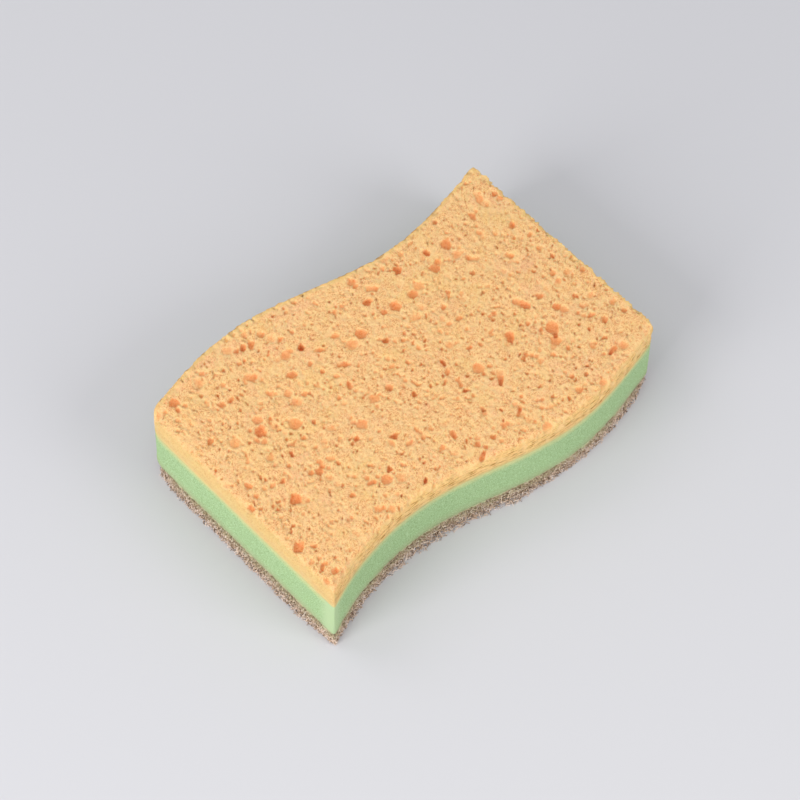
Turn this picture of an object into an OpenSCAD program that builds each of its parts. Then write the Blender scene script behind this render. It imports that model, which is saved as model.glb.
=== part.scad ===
// Wave-sided cleaning sponge in three bonded layers: open-pored cellulose on
// top, fine foam in the middle and a rough non-woven scouring pad underneath.
// X runs along the sponge, Y across it and Z up. The origin is on the ground,
// under the middle. All sizes are in millimetres.

/* [Outline] */
// Length between the two straight cut ends
sponge_l = 130; // [110:1:150]
// Width from one wavy side to the other, measured straight across
sponge_w = 78; // [65:1:90]
// Swing of the wave to each side of its straight line
wave_swing = 4.4; // [2:0.1:6]
// Length of one full wave
wave_l = 112; // [100:1:140]
// Rounding of the blunt corner on the far left, seen from above
far_corner_r = 7; // [4:0.5:10]
// Rounding of the blunt corner on the near right
near_corner_r = 5; // [4:0.5:10]
// How far one sharp tip is drawn out past the wave
tip_pull = 2; // [0:0.1:4]
// Length of side that the drawn-out tip takes up
tip_l = 16; // [10:1:25]

/* [Layers] */
// Thickness of the cellulose
cellulose_t = 5.5; // [4:0.1:10]
// Thickness of the foam
foam_t = 14.6; // [8:0.1:20]
// Thickness of the scouring pad
pad_t = 4.4; // [3:0.1:8]
// Roll-off along the top edge of the cellulose
soft_edge = 2.8; // [1:0.1:3.5]

/* [Pores] */
// Width of the smallest scattered pore
pore_min = 1; // [0.8:0.1:1.2]
// Width of the widest scattered pore
pore_max = 2.2; // [1.5:0.1:3]
// Spacing of the scattered pores
pore_pitch = 8; // [7:0.1:12]
// Band along the edge that has no scattered pores
pore_margin = 4; // [3:0.1:6]
// Length of the longest slit in the sides of the cellulose
slit_l = 6; // [3:0.5:8]
// Height of a slit at its middle
slit_h = 0.7; // [0.5:0.1:0.8]
// Height from one layer of slits to the next
slit_rise = 0.9; // [0.9:0.1:1.2]
// Spacing of the slits along a side
slit_pitch = 12; // [8:0.5:15]
// Radius of the nicks in the torn top edge at one end
nick_r = 0.9; // [0.5:0.1:1.2]
// Spacing of the nicks
nick_pitch = 5; // [4:0.5:8]

/* [Pad fibres] */
// Reach of the longest tuft past the outline
fray = 1.6; // [0.4:0.1:2]
// Spacing of the tufts along the edge
fray_pitch = 2.6; // [2:0.1:4]

/* [Hidden] */

half_l = sponge_l / 2;
half_w = sponge_w / 2;
foam_z = pad_t;
cellulose_z = foam_z + foam_t;
top_z = cellulose_z + cellulose_t;

// Steps of the outline round a corner and along a side, and of the roll-off
corner_steps = 6;
side_steps = 40;
edge_steps = 4;

// Width up to which a pore has fewer facets
small_pore = 1.9;
// Depth of a scattered pore, as a share of its width
pore_depth = 0.7;
// Wall left between a scattered pore and a big one
pore_wall = 0.3;

slit_layers = 3;
// How far a pore, slit or nick is off its place, as a share of the spacing
uneven = 0.4;
// The smallest nick and the shortest tuft, as a share of the largest
nick_least = 0.4;
tuft_least = 0.2;
// Heights at which the pad's edge frays in its own way
pad_plies = 3;

// Deep and wide pores that catch the eye, each with its place along and
// across, its length, its width, the turn of its length and its depth.
big_pores = [
    [-57, 33, 2, 2, 0, 1.2], [-49, 29, 3, 1.6, 60, 1], [-46, 26, 2.4, 2, 30, 1.2],
    [-43.5, 21, 1.5, 1.5, 0, 1.2], [-29, 37, 2.8, 2.2, 60, 1.6], [-22, 38, 2.4, 1.4, 15, 0.9],
    [-17, 39, 2, 1.6, 90, 1.2], [-16.5, 26, 3.2, 2.6, 60, 2.1], [-15, 33, 1.6, 1.6, 0, 1.3],
    [-34, 28, 5, 3.8, 150, 1], [-33.5, 19.5, 4.2, 3, 130, 1], [-38, 25, 1.6, 1.4, 0, 1.1],
    [-44, 12, 4.4, 3.2, 50, 1.8], [-51, 12, 2, 2, 0, 1], [-26, 13.5, 2.6, 2, 20, 1.1],
    [-36.5, 10, 2.6, 1.8, 0, 1], [-53, 7.5, 4.2, 1.6, 60, 0.9], [-15, 7, 3.6, 2, 60, 1.5],
    [-40, 3, 3.2, 1.4, 0, 1], [-42.5, 0.5, 3.2, 2, 80, 1.6], [-58.5, 0.5, 2.8, 2, 100, 1.4],
    [-7, -1, 3, 2.6, 30, 1.6], [-46, -2, 2, 1.8, 0, 1.2], [-43, -4, 1.6, 1.1, 140, 0.9],
    [-35, -8, 2.4, 1.3, 100, 1], [-22.5, -3, 2.8, 2.4, 20, 0.9], [-3, -7.5, 3.2, 2.2, 60, 1.8],
    [0, -5, 3.2, 1.3, 90, 1], [-38.5, -17, 2.6, 1.5, 20, 1.2], [-28.5, -17, 2.4, 1.8, 150, 1.2],
    [-15, -16.5, 2.6, 1.3, 40, 1], [-10.5, -17.5, 3.8, 1.6, 95, 1], [-6, -18.5, 2, 1.2, 40, 1],
    [-32, -21.5, 3.2, 2, 155, 1.3], [-60.5, -23.5, 2.2, 1.3, 90, 1], [-58, -26.5, 3, 2.2, 130, 1.1],
    [-4, -25, 3.4, 2, 80, 1.4], [-36.5, -29.5, 3.6, 2.6, 120, 0.9], [-20.5, -31, 2.6, 2, 30, 1.6],
    [-15, -30.5, 2.4, 1.3, 0, 1], [-1, -32, 2.4, 2, 60, 1.3], [-60.5, -33, 3.4, 1.6, 50, 1.2],
    [-59, -36.5, 2.4, 2, 0, 1.4], [-2.5, -35.5, 4.2, 2, 25, 1.6], [12.5, 28, 4.6, 2.2, 130, 1.2],
    [8.5, 25.5, 3.2, 2.6, 0, 1.9], [4.5, 22.5, 1.8, 1.1, 130, 0.9], [18, 31, 2.4, 1.2, 45, 0.9],
    [33.5, 27, 3, 2.2, 80, 1.7], [33.5, 22.5, 2.8, 2.2, 80, 1.2], [42.5, 33.5, 2.6, 1.8, 40, 1.4],
    [45.5, 29, 2.2, 1.3, 80, 1], [52.5, 28, 3.4, 2, 80, 1.2], [58.5, 32, 6, 3.8, 75, 1],
    [49.5, 22, 3, 2.4, 60, 1.1], [59, 18, 3.2, 2.4, 40, 1.5], [42, 16.5, 4.2, 2, 130, 0.9],
    [53, 19, 3, 2.6, 0, 0.8], [50.5, 10.5, 3.2, 2, 120, 1.1], [27.5, 11.5, 2.2, 2, 0, 1],
    [17.5, 10, 2.2, 1.3, 40, 1], [8.5, 6, 2, 1.3, 60, 1], [12, 4.5, 2.4, 1.6, 30, 1.3],
    [25, 3.5, 2, 1.8, 90, 1.4], [28, 2, 1.8, 1.5, 0, 1.2], [21, 4, 2.6, 2.2, 0, 0.8],
    [60, 2, 2.2, 1.6, 90, 1.3], [18, -2.5, 3.4, 1.6, 0, 0.9], [19.5, -6, 2.2, 2, 0, 1.4],
    [31.5, -2, 2, 1.8, 0, 1], [41.5, -4.5, 6, 2.8, 115, 1.6], [6, -10.5, 2, 1.6, 60, 1.3],
    [9, -13, 4.2, 1.8, 80, 1.1], [12.5, -13, 2, 1.7, 60, 1.4], [31, -11, 4.4, 2.8, 50, 1.8],
    [38, -11, 2.4, 1.7, 0, 1], [55, -6, 3, 2.6, 60, 1], [55, -13, 2.6, 1.8, 120, 1.4],
    [41.5, -19, 3, 2.2, 60, 1.8], [36.5, -17.5, 3.2, 1.6, 75, 1], [30.5, -18.5, 2.4, 1.9, 90, 1.4],
    [18.5, -20.5, 4.4, 2, 35, 1.6], [8.5, -24, 2, 1.6, 0, 1.2], [53.5, -21, 2.8, 1.8, 0, 1.2],
    [43.5, -27, 2, 1.7, 90, 1.4], [55.5, -25, 2.4, 2, 45, 1.5], [47, -29, 3.8, 2.6, 60, 1],
    [51, -29.5, 2.4, 1.7, 150, 1.2], [15, -31.5, 4.4, 1.8, 35, 1.4], [9, -32, 2.6, 2, 60, 1],
    [34.5, -34.5, 1.9, 1.6, 0, 1.3], [38.5, -35, 2.2, 1.6, 0, 1.3], [50, -34, 4.8, 2, 10, 1.6],
    [29, -38, 2.2, 1.8, 70, 1.4], [33, -37.5, 3.2, 2, 70, 1.1], [24.5, -36, 3.4, 1, 75, 0.8]
];

// Centre line of the wave and its slope
function wave(x) = -wave_swing * sin(360 * x / wave_l);
function wave_slope(x) = -wave_swing * 2 * PI / wave_l * cos(360 * x / wave_l);

// Slope and length along x of the side where it runs into a blunt corner
end_slope = wave_slope(half_l);
end_stretch = sqrt(1 + end_slope * end_slope);

// Middle of the rounding r of a blunt corner on the far left, and the x where
// it ends on an outline drawn in by inset
function round_x(r) = r - half_l;
function round_y(r) = half_w + wave(-half_l) + r * (end_slope - end_stretch);
function round_end(r, inset) = round_x(r) - (r - inset) * end_slope / end_stretch;

// X of each point along a side, closer together round the corners
widest_r = max(far_corner_r, near_corner_r);
function corner_xs(inset) = [
    for (i = [0 : corner_steps - 1])
        round_x(widest_r) - (widest_r - inset) * cos(i / corner_steps * (90 - atan(end_slope)))
];
function side_xs(inset) = concat(
    corner_xs(inset),
    [for (i = [0 : side_steps]) round_end(widest_r, inset) * (1 - 2 * i / side_steps)],
    [for (i = [1 : corner_steps]) -corner_xs(inset)[corner_steps - i]]
);

// Y of the far side, and of the near side, which is the far one turned half
// round and has the drawn-out tip
function far_y(x, inset, r = far_corner_r) = x < round_end(r, inset)
    ? round_y(r) + sqrt(max(0, pow(r - inset, 2) - pow(x - round_x(r), 2)))
    : half_w - inset * sqrt(1 + pow(wave_slope(x), 2)) + wave(x);
function tip_reach(x) = tip_pull * pow(max(0, 1 - (x + half_l) / tip_l), 2);
function near_y(x, inset) = -far_y(-x, inset, near_corner_r) - tip_reach(x);

// Points of the whole outline, drawn in by inset, counter-clockwise
function outline(inset = 0) =
    let (xs = side_xs(inset), last = len(xs) - 1)
    concat(
        [for (x = xs) [x, near_y(x, inset)]],
        [for (i = [0 : last]) [xs[last - i], far_y(xs[last - i], inset)]]
    );

// Slab with the outline, rolled off along its top edge. Each ring of points
// is drawn in a little more than the ring below it.
module soft_slab(z0, z1, edge) {
    insets = concat([0], [for (i = [0 : edge_steps]) edge * (1 - cos(90 * i / edge_steps))]);
    heights = concat([z0], [for (i = [0 : edge_steps]) z1 - edge * (1 - sin(90 * i / edge_steps))]);
    rings = [for (inset = insets) outline(inset)];
    n = len(rings[0]);
    top = len(rings) - 1;
    points = [for (k = [0 : top]) for (p = rings[k]) [p[0], p[1], heights[k]]];
    walls = [
        for (k = [0 : top - 1]) for (i = [0 : n - 1])
            let (j = (i + 1) % n)
            each [[k * n + i, (k + 1) * n + j, k * n + j], [k * n + i, (k + 1) * n + i, (k + 1) * n + j]]
    ];
    caps = [
        for (i = [0 : n / 2 - 2])
            each [
                [i, i + 1, n - 2 - i, n - 1 - i],
                [top * n + n - 1 - i, top * n + n - 2 - i, top * n + i + 1, top * n + i]
            ]
    ];
    polyhedron(points, concat(walls, caps));
}

// Bubble that opens in the top, stretched along its turn. A shallow one is part
// of a larger ball, and a deep one is wider inside than at its mouth.
module pore(place, long, wide, turn, depth) {
    r = depth < wide / 2 ? (wide * wide / 4 + depth * depth) / (2 * depth) : wide / 2;
    translate([place[0], place[1], top_z - depth + r])
        rotate(turn)
            hull()
                for (way = [-1, 1])
                    translate([way * (long - wide) / 2, 0, 0])
                        sphere(r, $fn = wide > small_pore ? 8 : 6);
}

// Distance from a point to the middle line of a big pore
function off_line(at, p) =
    let (
        run = (p[2] - p[3]) / 2,
        away = at - [p[0], p[1]],
        along = away * [cos(p[4]), sin(p[4])],
        across = away * [-sin(p[4]), cos(p[4])]
    )
    norm([max(0, abs(along) - run), across]);

// Whether a round pore there would leave a wall to every big one
function is_clear(at, wide) =
    len([for (p = big_pores) if (off_line(at, p) < (p[3] + wide) / 2 + pore_wall) 1]) == 0;

// Pores scattered at uneven places and sizes over the top
module scattered_pores() {
    columns = floor((sponge_l - 2 * pore_margin) / pore_pitch);
    rows = floor((sponge_w - 2 * pore_margin) / pore_pitch);
    shift = rands(-uneven, uneven, 2 * columns * rows, 11);
    width = rands(0, 1, columns * rows, 12);
    for (i = [0 : columns - 1])
        for (j = [0 : rows - 1]) {
            k = i * rows + j;
            wide = pore_min + (pore_max - pore_min) * pow(width[k], 3);
            x = (i - (columns - 1) / 2 + shift[2 * k]) * pore_pitch;
            y = (j - (rows - 1) / 2 + shift[2 * k + 1]) * pore_pitch + wave(x);
            if (is_clear([x, y], wide))
                pore([x, y], wide, wide, 0, wide * pore_depth);
        }
}

// Slit that tapers to both ends, along a side at x, as two cones
module slit(x, z, long, side) {
    translate([x, (side == 1 ? far_y(x, 0) : near_y(x, 0)), z])
        rotate([0, 90, atan(wave_slope(x))])
            for (way = [0, 1])
                mirror([0, 0, way])
                    cylinder(h = long / 2, r1 = slit_h / 2, r2 = 0, $fn = 6);
}

// Slits in layers along both wavy sides
module side_slits() {
    count = floor((sponge_l - 2 * widest_r) / slit_pitch);
    length = rands(slit_l / 2, slit_l, 2 * slit_layers * count, 21);
    shift = rands(-uneven, uneven, 2 * slit_layers * count, 22);
    for (side = [0, 1])
        for (layer = [0 : slit_layers - 1])
            for (i = [0 : count - 1]) {
                k = (side * slit_layers + layer) * count + i;
                x = (i - (count - 1) / 2 + shift[k]) * slit_pitch;
                slit(x, cellulose_z + slit_rise * (layer + 1), length[k], side);
            }
}

// Nicks along the torn top edge of the end on the right
module end_nicks() {
    count = floor((sponge_w - 2 * widest_r) / nick_pitch);
    size = rands(nick_least, 1, count, 31);
    shift = rands(-uneven, uneven, count, 32);
    for (i = [0 : count - 1])
        translate([
            half_l,
            wave(half_l) + (i - (count - 1) / 2 + shift[i]) * nick_pitch,
            top_z - soft_edge * size[i]
        ])
            sphere(nick_r * size[i], $fn = 6);
}

module cellulose_layer() {
    color([0.95, 0.75, 0.51])
        difference() {
            soft_slab(cellulose_z, top_z, soft_edge);
            for (p = big_pores)
                pore([p[0], p[1]], p[2], p[3], p[4], p[5]);
            scattered_pores();
            side_slits();
            end_nicks();
        }
}

module foam_core() {
    color([0.67, 0.78, 0.58])
        translate([0, 0, foam_z])
            linear_extrude(foam_t)
                polygon(outline());
}

// Points of one edge from a to b, with uneven tufts between them
function tufts(a, b, seed) =
    let (
        length = norm(b - a),
        pairs = max(1, round(length / fray_pitch)),
        out = [b[1] - a[1], a[0] - b[0]] / length,
        reach = rands(tuft_least * fray, fray, pairs, seed)
    )
    [for (i = [0 : pairs - 1]) each [a + (b - a) * i / pairs, a + (b - a) * (i + 0.5) / pairs + out * reach[i]]];

// Pad with a tufted edge. Both halves of the edge fray alike, which keeps the
// pad centred.
module scouring_pad() {
    edge = outline();
    half = len(edge) / 2;
    color([0.54, 0.48, 0.42])
        for (ply = [0 : pad_plies - 1])
            translate([0, 0, ply * pad_t / pad_plies])
                linear_extrude(pad_t / pad_plies)
                    polygon([
                        for (i = [0 : len(edge) - 1])
                            each tufts(edge[i], edge[(i + 1) % len(edge)], ply * half + i % half)
                    ]);
}

cellulose_layer();
foam_core();
scouring_pad();
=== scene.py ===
import math
import random

import bmesh
import bpy
import numpy as np
from mathutils import Matrix, Vector, noise
from mathutils.bvhtree import BVHTree


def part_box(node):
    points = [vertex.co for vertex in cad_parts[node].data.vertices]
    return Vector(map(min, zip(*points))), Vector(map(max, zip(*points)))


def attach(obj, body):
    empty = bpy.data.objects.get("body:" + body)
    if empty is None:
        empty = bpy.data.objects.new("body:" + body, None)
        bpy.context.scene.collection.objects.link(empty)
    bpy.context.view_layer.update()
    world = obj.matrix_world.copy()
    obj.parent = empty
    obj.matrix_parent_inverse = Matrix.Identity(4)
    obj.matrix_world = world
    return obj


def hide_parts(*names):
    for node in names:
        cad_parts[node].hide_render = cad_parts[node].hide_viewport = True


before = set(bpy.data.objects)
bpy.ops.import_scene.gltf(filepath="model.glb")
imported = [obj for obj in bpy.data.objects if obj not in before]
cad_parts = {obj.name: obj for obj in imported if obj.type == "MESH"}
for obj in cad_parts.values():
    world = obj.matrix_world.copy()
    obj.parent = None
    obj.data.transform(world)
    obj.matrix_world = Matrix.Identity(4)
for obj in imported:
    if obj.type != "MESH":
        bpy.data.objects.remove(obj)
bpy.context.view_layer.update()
MM = 0.001

# Scouring pad
# The bottom of the sponge: a mat of crimped nylon fibres, bonded where they
# cross. It is cut to the wavy outline together with the other two layers.
PAD = "scouring_pad"
FOAM = "foam_core"
pad_low, pad_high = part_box(PAD)
foam_low, foam_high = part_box(FOAM)

wave_swing = 4.4 * MM
wave_length = 112 * MM
far_corner_round = 7 * MM
near_corner_round = 5 * MM
tip_soften = 3 * MM
tip_soften_steps = 12
tip_pull = 2 * MM
tip_length = 16 * MM
half_length = foam_high.x
half_width = foam_high.y - wave_swing

pad_cell = 0.62 * MM
pad_roughness = 0.45 * MM
pad_lump_size = 1.1 * MM
pad_clump_size = 3.5 * MM
pad_spread = 0.3 * MM
far_corner_tuck = 1.8 * MM
near_corner_tuck = 0.9 * MM
corner_reach = 16 * MM

pad_dark = (118, 92, 72)
pad_brown = (206, 177, 150)
pad_beige = (245, 220, 200)
pad_olive = (196, 188, 146)
pad_green = (192, 200, 156)


def wave(x):
    return -wave_swing * np.sin(2 * np.pi * x / wave_length)


def wave_slope(x):
    return -wave_swing * 2 * np.pi / wave_length * np.cos(2 * np.pi * x / wave_length)


def far_side(x, inset):
    return half_width - inset * np.sqrt(1 + wave_slope(x) ** 2) + wave(x)


def near_side(x, inset):
    pull = tip_pull * np.clip(1 - (x + half_length) / tip_length, 0, 1) ** 2
    return -far_side(-x, inset) - pull


def round_off(x, y, radius):
    """Rounds the blunt corner at low x and high y, by drawing points in towards its middle"""
    slope = wave_slope(half_length)
    stretch = math.hypot(1, slope)
    middle_x = radius - half_length
    middle_y = half_width + wave(-half_length) + radius * (slope - stretch)
    away_x = x - middle_x
    away_y = y - middle_y
    distance = np.maximum(np.hypot(away_x, away_y), 1e-9)
    to_end = -away_x / distance
    to_side = (away_y - slope * away_x) / stretch / distance
    beside = (away_y > 0) & (-away_x - slope * away_y > 0)
    keep = np.where(beside, np.maximum(to_end, to_side), 1)
    return middle_x + away_x * keep, middle_y + away_y * keep


def lay_out(u, v, inset):
    """Place on the outline, drawn in by inset, of a point of a square from -1 to 1"""
    x = u * (half_length - inset)
    y = near_side(x, inset) + (far_side(x, inset) - near_side(x, inset)) * (v + 1) / 2
    x, y = round_off(x, y, far_corner_round)
    x, y = round_off(-x, -y, near_corner_round)
    return -x, -y


def is_near_tip(place):
    """Whether a point is by one of the two sharp tips, which handling has softened"""
    far_tip = Vector((half_length, far_side(half_length, 0)))
    near_tip = Vector((-half_length, near_side(-half_length, 0)))
    return min((place.xy - far_tip).length, (place.xy - near_tip).length) < tip_soften


def layer(name, cell, rings, far_rings=None, plain_face=False):
    """Slab with the sponge's outline, cut into cells, and the ring that each point is on. rings
    gives the inset and height of each, from the first face along the wall to the last face,
    which is left plain, as the first one is if asked. far_rings hold on the two far sides."""
    bm = bmesh.new()
    across = round(2 * half_width / cell)
    along = round(2 * half_length / cell)
    bmesh.ops.create_grid(bm, x_segments=along, y_segments=across, size=1)
    if plain_face:
        bmesh.ops.dissolve_faces(bm, faces=bm.faces[:])
    rim = [e for e in bm.edges if e.is_boundary]
    for step in range(1, len(rings)):
        made = bmesh.ops.extrude_edge_only(bm, edges=rim)["geom"]
        for vert in made:
            if isinstance(vert, bmesh.types.BMVert):
                vert.co.z = step
        rim = [e for e in made if isinstance(e, bmesh.types.BMEdge) and e.is_boundary]
    bmesh.ops.contextual_create(bm, geom=rim)
    bmesh.ops.recalc_face_normals(bm, faces=bm.faces)
    mesh = bpy.data.meshes.new(name)
    bm.to_mesh(mesh)
    bm.free()
    square = read(mesh.vertices, "co", 3)
    step = np.rint(square[:, 2]).astype(int)
    far_share = smooth(square[:, 0] + square[:, 1], -0.25, 0.15)[:, None]
    near_places, far_places = np.array(rings)[step], np.array(far_rings or rings)[step]
    inset, height = (near_places + (far_places - near_places) * far_share).T
    x, y = lay_out(square[:, 0], square[:, 1], inset)
    mesh.vertices.foreach_set("co", np.stack([x, y, height], 1).ravel())
    if rings[0][1] > rings[1][1]:
        mesh.flip_normals()
    bm = bmesh.new()
    bm.from_mesh(mesh)
    tips = [v for v in bm.verts if is_near_tip(v.co)]
    for i in range(tip_soften_steps):
        bmesh.ops.smooth_vert(bm, verts=tips, factor=0.5, use_axis_x=True, use_axis_y=True)
    bm.to_mesh(mesh)
    bm.free()
    return mesh, step


def read(items, name, width):
    """Values of one property of all of a mesh's points"""
    values = np.empty(len(items) * width)
    items.foreach_get(name, values)
    return values.reshape(-1, width)


def smooth(value, low, high):
    """0 below low and 1 above high, with a soft step between them"""
    t = np.clip((value - low) / (high - low), 0, 1)
    return t * t * (3 - 2 * t)


def tuck_in(mesh):
    """Draws the pad's two blunt corners in, where it has worn back under the foam"""
    places = read(mesh.vertices, "co", 3)
    for end, tuck in ((-1, far_corner_tuck), (1, near_corner_tuck)):
        corner_gap = np.hypot(places[:, 0] - end * half_length, places[:, 1] + end * half_width)
        share = 1 - smooth(corner_gap, 0, corner_reach)
        places[:, 0] -= end * tuck * share
        places[:, 1] += end * tuck * share
    mesh.vertices.foreach_set("co", places.ravel())


def show(name, mesh, material):
    """Object of a smooth mesh in the scene"""
    piece = bpy.data.objects.new(name, mesh)
    bpy.context.scene.collection.objects.link(piece)
    mesh.materials.append(material)
    mesh.polygons.foreach_set("use_smooth", [True] * len(mesh.polygons))
    return piece


def screen(red, green, blue):
    """Colour as the shader wants it, from the 0 to 255 values that a screen shows"""
    shares = [c / 255 for c in (red, green, blue)]
    return [c / 12.92 if c < 0.04045 else ((c + 0.055) / 1.055) ** 2.4 for c in shares] + [1]


class Finish:
    """Matt material with patterns that follow the piece's own place in metres"""

    def __init__(self, name, roughness=0.95, gloss=0.15):
        self.material = bpy.data.materials.new(name)
        self.material.use_nodes = True
        self.nodes = self.material.node_tree.nodes
        self.join = self.material.node_tree.links.new
        self.shader = self.nodes["Principled BSDF"]
        self.shader.inputs["Roughness"].default_value = roughness
        self.shader.inputs["Specular IOR Level"].default_value = gloss
        self.place = self.nodes.new("ShaderNodeTexCoord").outputs["Object"]

    def scaled(self, size):
        """Place in steps of size"""
        mapping = self.nodes.new("ShaderNodeMapping")
        mapping.inputs["Scale"].default_value = (1 / size, 1 / size, 1 / size)
        self.join(self.place, mapping.inputs["Vector"])
        return mapping.outputs["Vector"]

    def stirred(self, size, amount):
        """Place in steps of size, pushed about so that a pattern loses its regular shapes"""
        push = self.nodes.new("ShaderNodeTexNoise")
        push.inputs["Scale"].default_value = 1
        stir = self.nodes.new("ShaderNodeVectorMath")
        stir.operation = "MULTIPLY_ADD"
        stir.inputs[1].default_value = (amount, amount, amount)
        place = self.scaled(size)
        self.join(place, push.inputs["Vector"])
        self.join(push.outputs["Color"], stir.inputs[0])
        self.join(place, stir.inputs[2])
        return stir.outputs["Vector"]

    def noise(self, size, detail=3, roughness=0.6):
        """Soft cloudy value between 0 and 1, with clouds of about that size"""
        texture = self.nodes.new("ShaderNodeTexNoise")
        texture.inputs["Scale"].default_value = 1
        texture.inputs["Detail"].default_value = detail
        texture.inputs["Roughness"].default_value = roughness
        self.join(self.scaled(size), texture.inputs["Vector"])
        return texture.outputs["Fac"]

    def holes(self, size, wall, least, most, stir=1.2, wall_fade=0.2):
        """Up to most in the open cells, and 0 on the walls between cells and in the cells whose
        random tone is below least"""
        place = self.stirred(size, stir)
        walls = self.nodes.new("ShaderNodeTexVoronoi")
        walls.feature = "DISTANCE_TO_EDGE"
        tones = self.nodes.new("ShaderNodeTexVoronoi")
        for texture in (walls, tones):
            texture.inputs["Scale"].default_value = 1
            self.join(place, texture.inputs["Vector"])
        apart = self.nodes.new("ShaderNodeSeparateColor")
        self.join(tones.outputs["Color"], apart.inputs["Color"])
        open_share = self.rise(apart.outputs["Red"], least, 1, most)
        inside = self.rise(walls.outputs["Distance"], wall, wall + wall_fade)
        return self.math("MULTIPLY", inside, open_share)

    def streaks(self, size, stretch, across):
        """Noise drawn out along the length of the piece. across is how far round it a point is"""
        apart = self.nodes.new("ShaderNodeSeparateXYZ")
        self.join(self.place, apart.inputs[0])
        together = self.nodes.new("ShaderNodeCombineXYZ")
        self.join(self.math("DIVIDE", apart.outputs["X"], size * stretch), together.inputs["X"])
        self.join(self.math("DIVIDE", across, size), together.inputs["Y"])
        texture = self.nodes.new("ShaderNodeTexNoise")
        texture.inputs["Scale"].default_value = 1
        texture.inputs["Detail"].default_value = 3
        self.join(together.outputs["Vector"], texture.inputs["Vector"])
        return texture.outputs["Fac"]

    def painted(self, name):
        """Value that the mesh's own points carry"""
        attribute = self.nodes.new("ShaderNodeAttribute")
        attribute.attribute_name = name
        return attribute.outputs["Fac"]

    def height(self):
        """How high above the ground a point is"""
        apart = self.nodes.new("ShaderNodeSeparateXYZ")
        self.join(self.place, apart.inputs[0])
        return apart.outputs["Z"]

    def math(self, operation, *terms):
        """Result of one sum of values and numbers"""
        node = self.nodes.new("ShaderNodeMath")
        node.operation = operation
        for socket, term in zip(node.inputs, terms):
            if isinstance(term, (int, float)):
                socket.default_value = term
            else:
                self.join(term, socket)
        return node.outputs[0]

    def rise(self, value, low, high, most=1.0):
        """0 where value is low, turning smoothly to most where it is high"""
        node = self.nodes.new("ShaderNodeMapRange")
        node.interpolation_type = "SMOOTHSTEP"
        node.inputs["From Min"].default_value = low
        node.inputs["From Max"].default_value = high
        node.inputs["To Max"].default_value = most
        self.join(value, node.inputs["Value"])
        return node.outputs["Result"]

    def ramp(self, value, *stops):
        """Colours at the given places along a value"""
        node = self.nodes.new("ShaderNodeValToRGB")
        while len(node.color_ramp.elements) < len(stops):
            node.color_ramp.elements.new(0.5)
        for element, (place, colour) in zip(node.color_ramp.elements, stops):
            element.position = place
            element.color = screen(*colour)
        self.join(value, node.inputs["Fac"])
        return node.outputs["Color"]

    def tint(self, colour, share, other):
        """Mixes other over a colour by a share"""
        node = self.nodes.new("ShaderNodeMix")
        node.data_type = "RGBA"
        self.join(share, node.inputs["Factor"])
        self.join(colour, node.inputs["A"])
        if isinstance(other, tuple):
            node.inputs["B"].default_value = screen(*other)
        else:
            self.join(other, node.inputs["B"])
        return node.outputs["Result"]

    def colour(self, colour):
        """Gives the material its colour"""
        self.join(colour, self.shader.inputs["Base Color"])

    def bump(self, value, height):
        """Raises the surface by height where value is 1"""
        node = self.nodes.new("ShaderNodeBump")
        node.inputs["Distance"].default_value = height
        self.join(value, node.inputs["Height"])
        self.join(node.outputs["Normal"], self.shader.inputs["Normal"])

    def let_light_in(self, share, reach, red, green, blue):
        """Lets light spread inside, as far as reach, by each colour's own part of it"""
        self.shader.inputs["Subsurface Weight"].default_value = share
        self.shader.inputs["Subsurface Scale"].default_value = reach
        self.shader.inputs["Subsurface Radius"].default_value = (red, green, blue)


pad_wall_cells = round((pad_high.z - pad_low.z) / pad_cell)
pad_rings = [
    (0, pad_low.z + (pad_high.z - pad_low.z) * i / pad_wall_cells)
    for i in range(pad_wall_cells + 1)
]
pad_mesh, pad_ring = layer("pad_mat", pad_cell, pad_rings)

places = read(pad_mesh.vertices, "co", 3)
outward = read(pad_mesh.vertex_normals, "vector", 3)
moved = places.copy()
for i, (place, out) in enumerate(zip(places, outward)):
    rough = noise.fractal(Vector(place) / pad_lump_size, 1, 2, 3)
    clump = noise.noise(Vector(place) / pad_clump_size)
    if pad_ring[i] == 0:
        # the underside only dips, so that the pad still stands flat
        dip = max(0, 0.7 * rough + 0.5 * clump + 0.6)
        moved[i] -= out * pad_roughness * dip
    elif pad_ring[i] < pad_wall_cells:
        spread = pad_spread * (1 - place[2] / pad_high.z)
        moved[i] += out * (pad_roughness * (rough + 0.5 * clump) + spread)
pad_mesh.vertices.foreach_set("co", moved.ravel())
tuck_in(pad_mesh)

finish = Finish("scouring_fibre_mat")
speckle = finish.noise(0.6 * MM, detail=4, roughness=0.75)
mat_colour = finish.ramp(speckle, (0.34, pad_dark), (0.5, pad_brown), (0.66, pad_beige))
olive_share = finish.rise(finish.height(), 0.5 * pad_high.z, pad_high.z, 0.4)
mat_colour = finish.tint(mat_colour, olive_share, pad_olive)
ragged_height = finish.math("MULTIPLY_ADD", finish.noise(1 * MM), 1.2 * MM, finish.height())
joint_share = finish.rise(ragged_height, pad_high.z - 0.3 * MM, pad_high.z + 0.4 * MM, 0.9)
finish.colour(finish.tint(mat_colour, joint_share, pad_green))
finish.bump(finish.noise(0.35 * MM, roughness=0.7), 0.5 * MM)

pad = show("pad_mat", pad_mesh, finish.material)
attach(pad, "root")
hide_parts(PAD)

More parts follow.
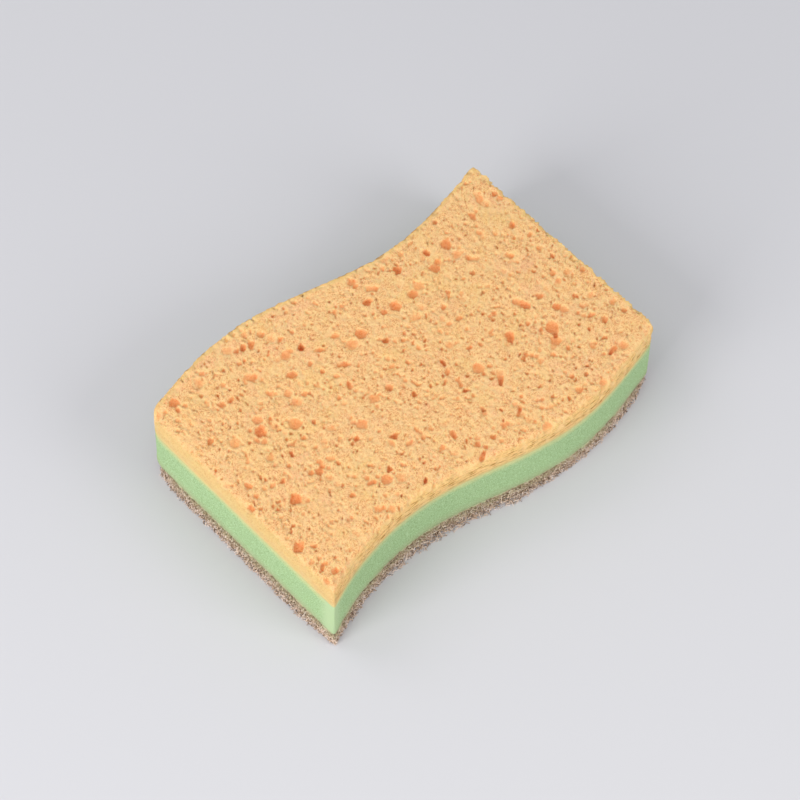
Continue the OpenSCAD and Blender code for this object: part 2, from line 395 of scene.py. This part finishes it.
# Pad fibres
# Single crimped fibres that stand out of the cut edge of the pad and lie
# across its underside, some dark, some brown and some a pinkish beige.
fibre_thickness = 0.19 * MM
fibre_points = 4
fibre_count = 7500
flat_step = 4
fringe = 2.8 * MM
edge_stand = 0.15 * MM
corner_fringe = 0.25
corner_fade = (1 * MM, 10 * MM)
top_gap = 0.6 * MM
edge_length_mm = (0.6, 1.8)
edge_crimp_mm = 0.4
flat_length_mm = (1.5, 5)
flat_bend_mm = 1
flat_inset = 1 * MM
rim_step = 0.25 * MM
rim_blend = 8
fringe_patch = 4 * MM
end_fringe = 0.65
waist_from = (-44 * MM, -28 * MM)
waist_to = (8 * MM, 24 * MM)

pad_pale = (251, 237, 228)

rim_t = np.linspace(-1, 1, round(2 * half_length / rim_step), endpoint=False)
rim_one = np.ones(len(rim_t))
rim_x, rim_y = lay_out(
    np.concatenate([rim_t, rim_one, -rim_t, -rim_one]),
    np.concatenate([-rim_one, rim_t, rim_one, -rim_t]),
    0,
)
rim_run = np.stack([
    np.roll(rim_x, -rim_blend) - np.roll(rim_x, rim_blend),
    np.roll(rim_y, -rim_blend) - np.roll(rim_y, rim_blend),
], 1)
rim_run /= np.linalg.norm(rim_run, axis=1)[:, None]
corner_gap = np.hypot(np.abs(rim_x) - half_length, np.abs(rim_y) - far_side(half_length, 0))
rim_thick = corner_fringe + (1 - corner_fringe) * smooth(corner_gap, *corner_fade)
# the fringe of a wavy side is widest round its middle
waist = smooth(rim_x, *waist_from) * (1 - smooth(rim_x, *waist_to))
on_end = np.abs(rim_run[:, 1]) > 0.9
rim_thick *= np.where(on_end, end_fringe, 0.5 + 0.6 * waist)


def edge_fibre(draw):
    """Points of a short fibre in the fringe of the pad's cut edge, which is widest low down"""
    first = draw.randrange(len(rim_x))
    height = pad_low.z + draw.random() * (pad_high.z - top_gap - pad_low.z)
    here = Vector((rim_x[first], rim_y[first], height))
    thick = rim_thick[first] * (0.85 + 0.4 * noise.noise(here / fringe_patch))
    narrow = 1 - 0.8 * min(1, height / pad_high.z)
    reach = fringe * thick * narrow * draw.random() ** 1.4 + edge_stand
    length = draw.uniform(*edge_length_mm) * MM
    crimp = draw.uniform(-edge_crimp_mm, edge_crimp_mm) * MM
    along, out, up = draw.gauss(0, 1), draw.gauss(0, 0.35), draw.gauss(0, 0.5)
    size = math.hypot(along, out, up)
    points = []
    for i in range(fibre_points):
        t = i / (fibre_points - 1) - 0.5
        near = (first + round(length * t * along / size / rim_step)) % len(rim_x)
        wobble = crimp * math.sin(5 * t)
        away = reach + length * t * out / size + wobble
        run_x, run_y = rim_run[near]
        z = height + length * t * up / size - wobble
        points.append((rim_x[near] + away * run_y, rim_y[near] - away * run_x, z))
    return points


def flat_fibre(draw):
    """Points of a fibre that lies across the underside"""
    length = draw.uniform(*flat_length_mm) * MM
    bend = draw.uniform(-flat_bend_mm, flat_bend_mm) * MM
    turn = draw.uniform(0, 2 * math.pi)
    height = pad_low.z + fibre_thickness * draw.uniform(1, 2.5)
    u, v = np.array([draw.uniform(-1, 1)]), np.array([draw.uniform(-1, 1)])
    (x,), (y,) = lay_out(u, v, flat_inset)
    points = []
    for i in range(fibre_points):
        t = i / (fibre_points - 1) - 0.5
        along, across = length * t, bend * t * t
        points.append((
            x + along * math.cos(turn) - across * math.sin(turn),
            y + along * math.sin(turn) + across * math.cos(turn),
            height,
        ))
    return points


def fibre_section():
    """Three-sided cross-section of a fibre"""
    curve = bpy.data.curves.new("fibre_section", "CURVE")
    corners = curve.splines.new("POLY")
    corners.points.add(2)
    corners.use_cyclic_u = True
    for i, corner in enumerate(corners.points):
        turn = 2 * math.pi * i / 3
        corner.co = (fibre_thickness / 2 * math.cos(turn), fibre_thickness / 2 * math.sin(turn), 0, 1)
    section = bpy.data.objects.new("fibre_section", curve)
    bpy.context.scene.collection.objects.link(section)
    return section


def fibre_bunch(name, seed, *stops):
    """Fibres round the cut edge and under the pad, as one mesh"""
    draw = random.Random(seed)
    curve = bpy.data.curves.new(name, "CURVE")
    curve.dimensions = "3D"
    curve.bevel_mode = "OBJECT"
    curve.bevel_object = fibre_section()
    curve.use_fill_caps = True
    for i in range(fibre_count):
        spline = curve.splines.new("POLY")
        spline.points.add(fibre_points - 1)
        path = flat_fibre(draw) if i % flat_step == 0 else edge_fibre(draw)
        for point, (x, y, z) in zip(spline.points, path):
            point.co = (x, y, max(z, pad_low.z + fibre_thickness), 1)
    shape = bpy.data.objects.new(name, curve)
    bpy.context.scene.collection.objects.link(shape)
    mesh = bpy.data.meshes.new_from_object(shape.evaluated_get(bpy.context.evaluated_depsgraph_get()))
    bpy.data.objects.remove(curve.bevel_object)
    bpy.data.objects.remove(shape)
    mesh.materials.clear()
    tuck_in(mesh)
    finish = Finish(name, roughness=0.8)
    colour = finish.ramp(finish.noise(0.6 * MM, detail=2), *stops)
    olive_share = finish.rise(finish.height(), 0.4 * pad_high.z, pad_high.z, 0.5)
    finish.colour(finish.tint(colour, olive_share, pad_olive))
    piece = show(name, mesh, finish.material)
    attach(piece, "root")


fibre_bunch("dark_fibres", 4, (0.42, pad_dark), (0.58, pad_brown))
fibre_bunch("brown_fibres", 5, (0.42, pad_brown), (0.58, pad_beige))
fibre_bunch("beige_fibres", 6, (0.42, pad_beige), (0.58, pad_pale))

# Foam core
# The middle layer: light green soft foam with cells too fine to make out one
# by one, bonded to the pad below and to the cellulose above.
foam_cell = 0.45 * MM
foam_grain = 0.09 * MM
foam_grain_size = 0.8 * MM
foam_swell = 0.2 * MM
foam_swell_size = 14 * MM
tip_highlight_fade = (0.5 * MM, 5 * MM)

foam_green = (171, 202, 148)
foam_pale = (196, 223, 172)
foam_deep = (140, 174, 118)
foam_olive = (178, 186, 142)
foam_yellow = (226, 217, 152)
foam_tip_highlight = (192, 216, 166)


def paint(mesh, name, values):
    """Gives each point of a mesh its own value"""
    mesh.attributes.new(name, "FLOAT", "POINT").data.foreach_set("value", values)


foam_wall_cells = round((foam_high.z - foam_low.z) / foam_cell)
foam_rings = [
    (0, foam_high.z - (foam_high.z - foam_low.z) * i / foam_wall_cells)
    for i in range(foam_wall_cells + 1)
]
foam_mesh, foam_ring = layer("foam_middle", foam_cell, foam_rings, plain_face=True)

places = read(foam_mesh.vertices, "co", 3)
outward = read(foam_mesh.vertex_normals, "vector", 3)
moved = places.copy()
for i, (place, out) in enumerate(zip(places, outward)):
    if 0 < foam_ring[i] < foam_wall_cells:
        grain = noise.noise(Vector(place) / foam_grain_size)
        swell = noise.noise(Vector(place) / foam_swell_size)
        moved[i] += out * (foam_grain * grain + foam_swell * swell)
foam_mesh.vertices.foreach_set("co", moved.ravel())
# the two sharp tips are painted lighter: a painted highlight, for the light that the thin rounded tip
# catches and lets through
from_tip = np.hypot(
    np.abs(places[:, 0]) - half_length,
    np.abs(places[:, 1]) - far_side(half_length, 0),
) + half_width * (places[:, 0] * places[:, 1] < 0)
paint(foam_mesh, "tip", 1 - smooth(from_tip, *tip_highlight_fade))

finish = Finish("green_foam")
grain = finish.noise(0.3 * MM, detail=3, roughness=0.8)
foam_colour = finish.ramp(grain, (0.38, foam_deep), (0.5, foam_green), (0.62, foam_pale))
pad_share = finish.rise(finish.height(), foam_low.z + 4 * MM, foam_low.z, 0.5)
foam_colour = finish.tint(foam_colour, pad_share, foam_olive)
ragged = finish.math("MULTIPLY_ADD", finish.noise(1.5 * MM), 2 * MM, finish.height())
top_share = finish.rise(ragged, foam_high.z - 2 * MM, foam_high.z + 1.6 * MM, 0.85)
foam_colour = finish.tint(foam_colour, top_share, foam_yellow)
# painted highlight on the two sharp tips
finish.colour(finish.tint(foam_colour, finish.painted("tip"), foam_tip_highlight))
finish.bump(grain, 0.4 * MM)
finish.let_light_in(0.2, 1.2 * MM, 0.8, 1, 0.6)

foam = show("foam_middle", foam_mesh, finish.material)
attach(foam, "root")
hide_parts(FOAM)

# Cellulose layer
# The top of the sponge: cellulose foamed round salt crystals and cut flat, so
# that every bubble the blade met is open. Its edges have softened and rolled.
CELLULOSE = "cellulose_layer"
cellulose_low, cellulose_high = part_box(CELLULOSE)

cellulose_cell = 0.4 * MM
near_roll = 2.8 * MM
far_roll = 0.5 * MM
roll_rings = 10
deepest_pit = 1.8 * MM
# factors that draw two unlike random numbers from the middle of a bubble's cell
chance_draw = 13.7
radius_draw = 29.3
# how squarely a face looks along an axis for it to be of the far end, the top and the flat top
end_facing = 0.35
top_facing = 0.5
flat_facing = 0.8

# noise of two sizes bends the outlines of the pores, so that none is a plain round
wide_bend_size = 3.5 * MM
wide_bend_mm = 0.5
fine_bend_size = 1.3 * MM
fine_bend_mm = 0.3
least_cut = 0.1 * MM
swell_size = 9 * MM
swell_mm = 0.2
grit_size = 0.9 * MM
grit_mm = 0.08

smooth_strip = 0.5 * MM
bite_size = 2.6 * MM
end_bite = 1.8 * MM
side_bite = 0.5 * MM
end_push = 0.3 * MM
side_push = 0.5 * MM
end_torn = 3 * MM
side_torn = 2 * MM
tip_spared = 5 * MM

left_margin = (smooth_strip, 2.4 * MM)
near_margin = (0.3 * MM, 2.2 * MM)
far_margin = (0.5 * MM, 1.8 * MM)
right_margin = (0.4 * MM, 1.5 * MM)
near_wall = 1.6 * MM
far_wall = 0.6 * MM
wall_end_fade = 1.5 * MM

top_cream = (255, 214, 153)
top_peach = (255, 205, 144)
top_orange = (250, 184, 123)
speck_shade_brown = (220, 149, 92)
# colours of the painted shade inside the pits, from shallow to deep
pit_shade_peach = (255, 193, 130)
pit_shade_orange = (250, 164, 102)
pit_shade_deep = (242, 138, 76)
pit_shade_red = (216, 94, 40)
rim_yellow = (238, 200, 131)
strip_peach = (209, 183, 121)
low_yellow = (224, 204, 140)
slit_shade_ochre = (188, 136, 66)
patch_pink = (250, 188, 148)
patch_yellow = (250, 208, 132)

wall_cells = round((cellulose_high.z - far_roll - cellulose_low.z) / cellulose_cell)


def edge_rings(roll):
    """Inset and height of each ring of an edge that rolls over by roll and then falls straight"""
    angles = [math.pi / 2 * i / roll_rings for i in range(roll_rings + 1)]
    wall_top = cellulose_high.z - roll
    wall = [wall_top - (wall_top - cellulose_low.z) * i / wall_cells for i in range(1, wall_cells + 1)]
    return [
        (roll * (1 - math.sin(a)), cellulose_high.z - roll * (1 - math.cos(a))) for a in angles
    ] + [(0, z) for z in wall]


cellulose_mesh, cellulose_ring = layer(
    "cellulose_top", cellulose_cell, edge_rings(near_roll), edge_rings(far_roll)
)


def bubbles(here, out, size, chance, low, high, seed):
    """How far the cut face at here falls back to the far wall of a bubble that was cut open there.
    chance of the cells of that size hold one, from low to high of the size in radius."""
    spot = here / size + Vector((seed, seed, seed))
    deepest = 0.0
    for centre in noise.voronoi(spot)[1][:3]:
        if abs(noise.cell(centre * chance_draw)) > chance:
            continue
        radius = low + (high - low) * abs(noise.cell(centre * radius_draw)) ** 1.5
        off = spot - centre
        if off.length < radius:
            level = off.dot(out)
            deepest = max(deepest, level + math.sqrt(radius ** 2 - off.length_squared + level ** 2))
    return deepest * size


cad = bmesh.new()
cad.from_mesh(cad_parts[CELLULOSE].data)
cad_surface = BVHTree.FromBMesh(cad)
cad.free()

places = read(cellulose_mesh.vertices, "co", 3)
outward = read(cellulose_mesh.vertex_normals, "vector", 3)
last_ring = roll_rings + wall_cells
# the offsets of noise_vector come from the clock unless they have a seed
noise.seed_set(1)
left_gap = places[:, 0] + half_length
right_gap = half_length - places[:, 0]
near_gap = places[:, 1] - near_side(places[:, 0], 0)
far_gap = far_side(places[:, 0], 0) - places[:, 1]
# the CAD rolls over its far edges by near_roll too, which is no pit
cad_inset = np.clip(near_roll - np.minimum(far_gap, right_gap), 0, near_roll)
cad_drop = near_roll - np.sqrt(near_roll ** 2 - cad_inset ** 2)
depth = np.zeros(len(places))
for i, (place, out) in enumerate(zip(places, outward)):
    if cellulose_ring[i] == last_ring:
        continue
    here = Vector(place)
    out = Vector(out)
    bent = here + noise.noise_vector(here / wide_bend_size) * wide_bend_mm * MM
    bent += noise.noise_vector(here / fine_bend_size) * fine_bend_mm * MM
    hit = cad_surface.ray_cast(bent + out * MM, -out)[0]
    cut = max(0.0, (bent - hit).dot(out) - least_cut - cad_drop[i]) if hit else 0.0
    if out.x > end_facing:
        # the far end has bubbles of its own
        large = 0.5 * bubbles(bent, out, 3 * MM, chance=0.5, low=0.15, high=0.45, seed=41)
        cut = max(cut if out.z > flat_facing else 0.0, large)
    elif out.z > top_facing:
        # the top has bubbles of three sizes beside the CAD's
        wide = 0.3 * bubbles(bent, out, 4.4 * MM, chance=0.65, low=0.2, high=0.5, seed=3)
        middle = 0.5 * bubbles(bent, out, 2.3 * MM, chance=0.85, low=0.2, high=0.45, seed=11)
        small = 0.8 * bubbles(bent, out, 1.2 * MM, chance=0.75, low=0.25, high=0.5, seed=23)
        cut = max(0.7 * cut, wide, middle, small)
    elif abs(out.y) > abs(out.x):
        # the wavy walls have slits, which are bubbles drawn out along them
        drawn_out = Vector((here.x / 5, here.y, here.z))
        slit = 0.7 * bubbles(drawn_out, out, 0.9 * MM, chance=0.4, low=0.15, high=0.4, seed=31)
        cut = max(cut, slit)
    depth[i] = min(cut, deepest_pit)
depth *= smooth(left_gap, smooth_strip, 4 * smooth_strip)

swell = np.array([noise.noise(Vector(p) / swell_size) for p in places]) * swell_mm * MM
grit = np.array([noise.noise(Vector(p) / grit_size) for p in places]) * grit_mm * MM
free = cellulose_ring < last_ring
moved = places + outward * ((swell + grit - depth) * free)[:, None]
# the blade tore small bites out of the two far edges
bite = np.array([
    max(0, noise.noise(Vector(p) / bite_size) - 0.05) + 0.5 * noise.noise(Vector(p) / MM)
    for p in places
])
bite *= smooth(np.hypot(right_gap, far_gap), 0, tip_spared)
moved[:, 0] += (end_push - end_bite * bite) * (1 - smooth(right_gap, 0, end_torn)) * free
moved[:, 1] += (side_push - side_bite * bite) * (1 - smooth(far_gap, 0, side_torn)) * free
cellulose_mesh.vertices.foreach_set("co", moved.ravel())

rim = np.maximum.reduce([
    1 - smooth(left_gap, *left_margin),
    1 - smooth(near_gap, *near_margin),
    1 - smooth(far_gap, *far_margin),
    1 - smooth(right_gap, *right_margin),
])
on_wave = np.maximum(1 - smooth(near_gap, 0, near_wall), 1 - smooth(far_gap, 0, far_wall))
on_wave *= smooth(left_gap, 0, wall_end_fade) * smooth(right_gap, 0, wall_end_fade)
paint(cellulose_mesh, "pit", depth / deepest_pit * (1 - 0.7 * rim))
paint(cellulose_mesh, "rim", rim)
paint(cellulose_mesh, "end_strip", 1 - smooth(left_gap, smooth_strip, 3 * MM))
paint(cellulose_mesh, "wave_side", on_wave)
paint(cellulose_mesh, "round_edge", places[:, 2] + near_gap)

finish = Finish("orange_cellulose")
# the fine and coarse cells stand for pores too small to model: pale on their walls and darker in their
# open middles, down to brown specks, which is painted shade, stirred by a random mottle
fine = finish.holes(0.6 * MM, wall=0.02, least=0.2, most=0.7)
coarse = finish.holes(1.5 * MM, wall=0.03, least=0.6, most=0.3)
mottle_and_speck_shade = finish.noise(0.3 * MM, detail=2, roughness=0.8)
web = finish.math("ADD", fine, coarse)
web = finish.math("ADD", web, finish.math("MULTIPLY_ADD", mottle_and_speck_shade, 5, -2.3))
colour = finish.ramp(web, (0, top_cream), (0.25, top_peach), (0.6, top_orange), (1, speck_shade_brown))
colour = finish.tint(colour, finish.rise(finish.noise(11 * MM), 0.5, 0.75, 0.35), patch_pink)
colour = finish.tint(colour, finish.rise(finish.noise(13 * MM), 0.5, 0.3, 0.35), patch_yellow)
rim = finish.math("MULTIPLY_ADD", finish.noise(1.2 * MM), 0.6, finish.painted("rim"))
rim_colour = finish.ramp(finish.painted("end_strip"), (0, rim_yellow), (1, strip_peach))
colour = finish.tint(colour, finish.rise(rim, 0.4, 1.1, 0.65), rim_colour)
# the wavy walls get darker ochre streaks along them: painted shade in slits too fine to model
streaks = finish.streaks(0.4 * MM, stretch=8, across=finish.painted("round_edge"))
streak_share = finish.rise(streaks, 0.52, 0.61, 0.95)
streak_share = finish.math("MULTIPLY", streak_share, finish.painted("wave_side"))
colour = finish.tint(colour, streak_share, slit_shade_ochre)
low_share = finish.rise(finish.height(), cellulose_low.z + 1.8 * MM, cellulose_low.z, 0.85)
colour = finish.tint(colour, low_share, low_yellow)
pit = finish.painted("pit")
# the pits are painted darker and redder the deeper they are, unevenly: painted shade inside the pits
uneven = finish.math("MULTIPLY_ADD", finish.noise(0.6 * MM, roughness=0.8), 2.4, -0.2)
uneven_pit_shade = finish.math("MULTIPLY", pit, uneven)
pit_shade_colour = finish.ramp(
    uneven_pit_shade, (0.1, pit_shade_peach), (0.32, pit_shade_orange), (0.6, pit_shade_deep), (0.95, pit_shade_red)
)
# a painted highlight runs round the rim of each pit, where a ridge would catch the light
pit_lip_highlight = finish.math("MULTIPLY", finish.rise(pit, 0, 0.04), finish.rise(pit, 0.2, 0.08, 0.5))
colour = finish.tint(colour, pit_lip_highlight, top_cream)
# the pits' ragged outlines take their painted shade
ragged_pit = finish.math("MULTIPLY_ADD", finish.noise(0.4 * MM), 0.4, pit)
colour = finish.tint(colour, finish.rise(ragged_pit, 0.25, 0.5, 0.75), pit_shade_colour)
finish.colour(colour)
finish.bump(finish.math("SUBTRACT", 0, finish.math("ADD", web, streak_share)), 0.07 * MM)
finish.let_light_in(0.3, 1.1 * MM, 1, 0.5, 0.25)

cellulose = show("cellulose_top", cellulose_mesh, finish.material)
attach(cellulose, "root")
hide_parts(CELLULOSE)

# Floor
# A wide matt table top in pale grey, on which the sponge lies loose. It isn't
# part of the sponge.
floor_reach = 4
floor_patch = 0.5
floor_grey = (203, 202, 206)
floor_pale = (208, 207, 210)

finish = Finish("pale_table_top")
patches = finish.noise(floor_patch, detail=1)
finish.colour(finish.ramp(patches, (0.3, floor_grey), (0.7, floor_pale)))
bm = bmesh.new()
bmesh.ops.create_grid(bm, x_segments=1, y_segments=1, size=floor_reach)
floor_mesh = bpy.data.meshes.new("floor")
bm.to_mesh(floor_mesh)
bm.free()
floor = show("floor", floor_mesh, finish.material)

# Light
# A large soft lamp low on the viewer's left, two weaker ones on the right and
# behind, and an even pale sky.
sky_colour = (0.96, 0.98, 1, 1)
sky_strength = 0.62
lamp_size = 0.6


def add_lamp(name, place, power):
    """Square lamp that faces the sponge"""
    lamp = bpy.data.objects.new(name, bpy.data.lights.new(name, "AREA"))
    lamp.data.size = lamp_size
    lamp.data.energy = power
    lamp.location = place
    lamp.rotation_euler = (-Vector(place)).to_track_quat("-Z", "Y").to_euler()
    bpy.context.scene.collection.objects.link(lamp)


world = bpy.data.worlds.new("studio")
bpy.context.scene.world = world
world.use_nodes = True
sky = world.node_tree.nodes["Background"]
sky.inputs["Color"].default_value = sky_colour
sky.inputs["Strength"].default_value = sky_strength
add_lamp("key_lamp", (-0.95, -0.05, 0.45), power=8)
add_lamp("fill_lamp", (0.28, -0.9, 0.5), power=4.6)
add_lamp("back_lamp", (-0.3, 0.8, 0.9), power=1.8)

# Camera
# It looks down over the drawn-out tip, from far off and with a long lens, and
# leans a little to one side.
lens_length = 157.97
film_width = 36
nearest_seen = 0.05
azimuth = math.radians(-43.594)
elevation = math.radians(55.976)
roll = math.radians(-1.695)
distance = 1.02304
shift_right = 0.883 * MM
shift_up = -5.614 * MM

back = Vector((
    math.sin(azimuth) * math.cos(elevation),
    -math.cos(azimuth) * math.cos(elevation),
    math.sin(elevation),
))
right = Vector((math.cos(azimuth), math.sin(azimuth), 0))
up = back.cross(right)
camera_right = right * math.cos(roll) - up * math.sin(roll)
camera_up = right * math.sin(roll) + up * math.cos(roll)
camera = bpy.data.objects.new("camera", bpy.data.cameras.new("camera"))
camera.data.lens = lens_length
camera.data.sensor_width = film_width
camera.data.clip_start = nearest_seen
place = back * distance - camera_right * shift_right - camera_up * shift_up
turn = Matrix((camera_right, camera_up, back)).transposed()
camera.matrix_world = Matrix.Translation(place) @ turn.to_4x4()
bpy.context.scene.collection.objects.link(camera)
bpy.context.scene.camera = camera
bpy.context.scene.view_settings.view_transform = "Standard"
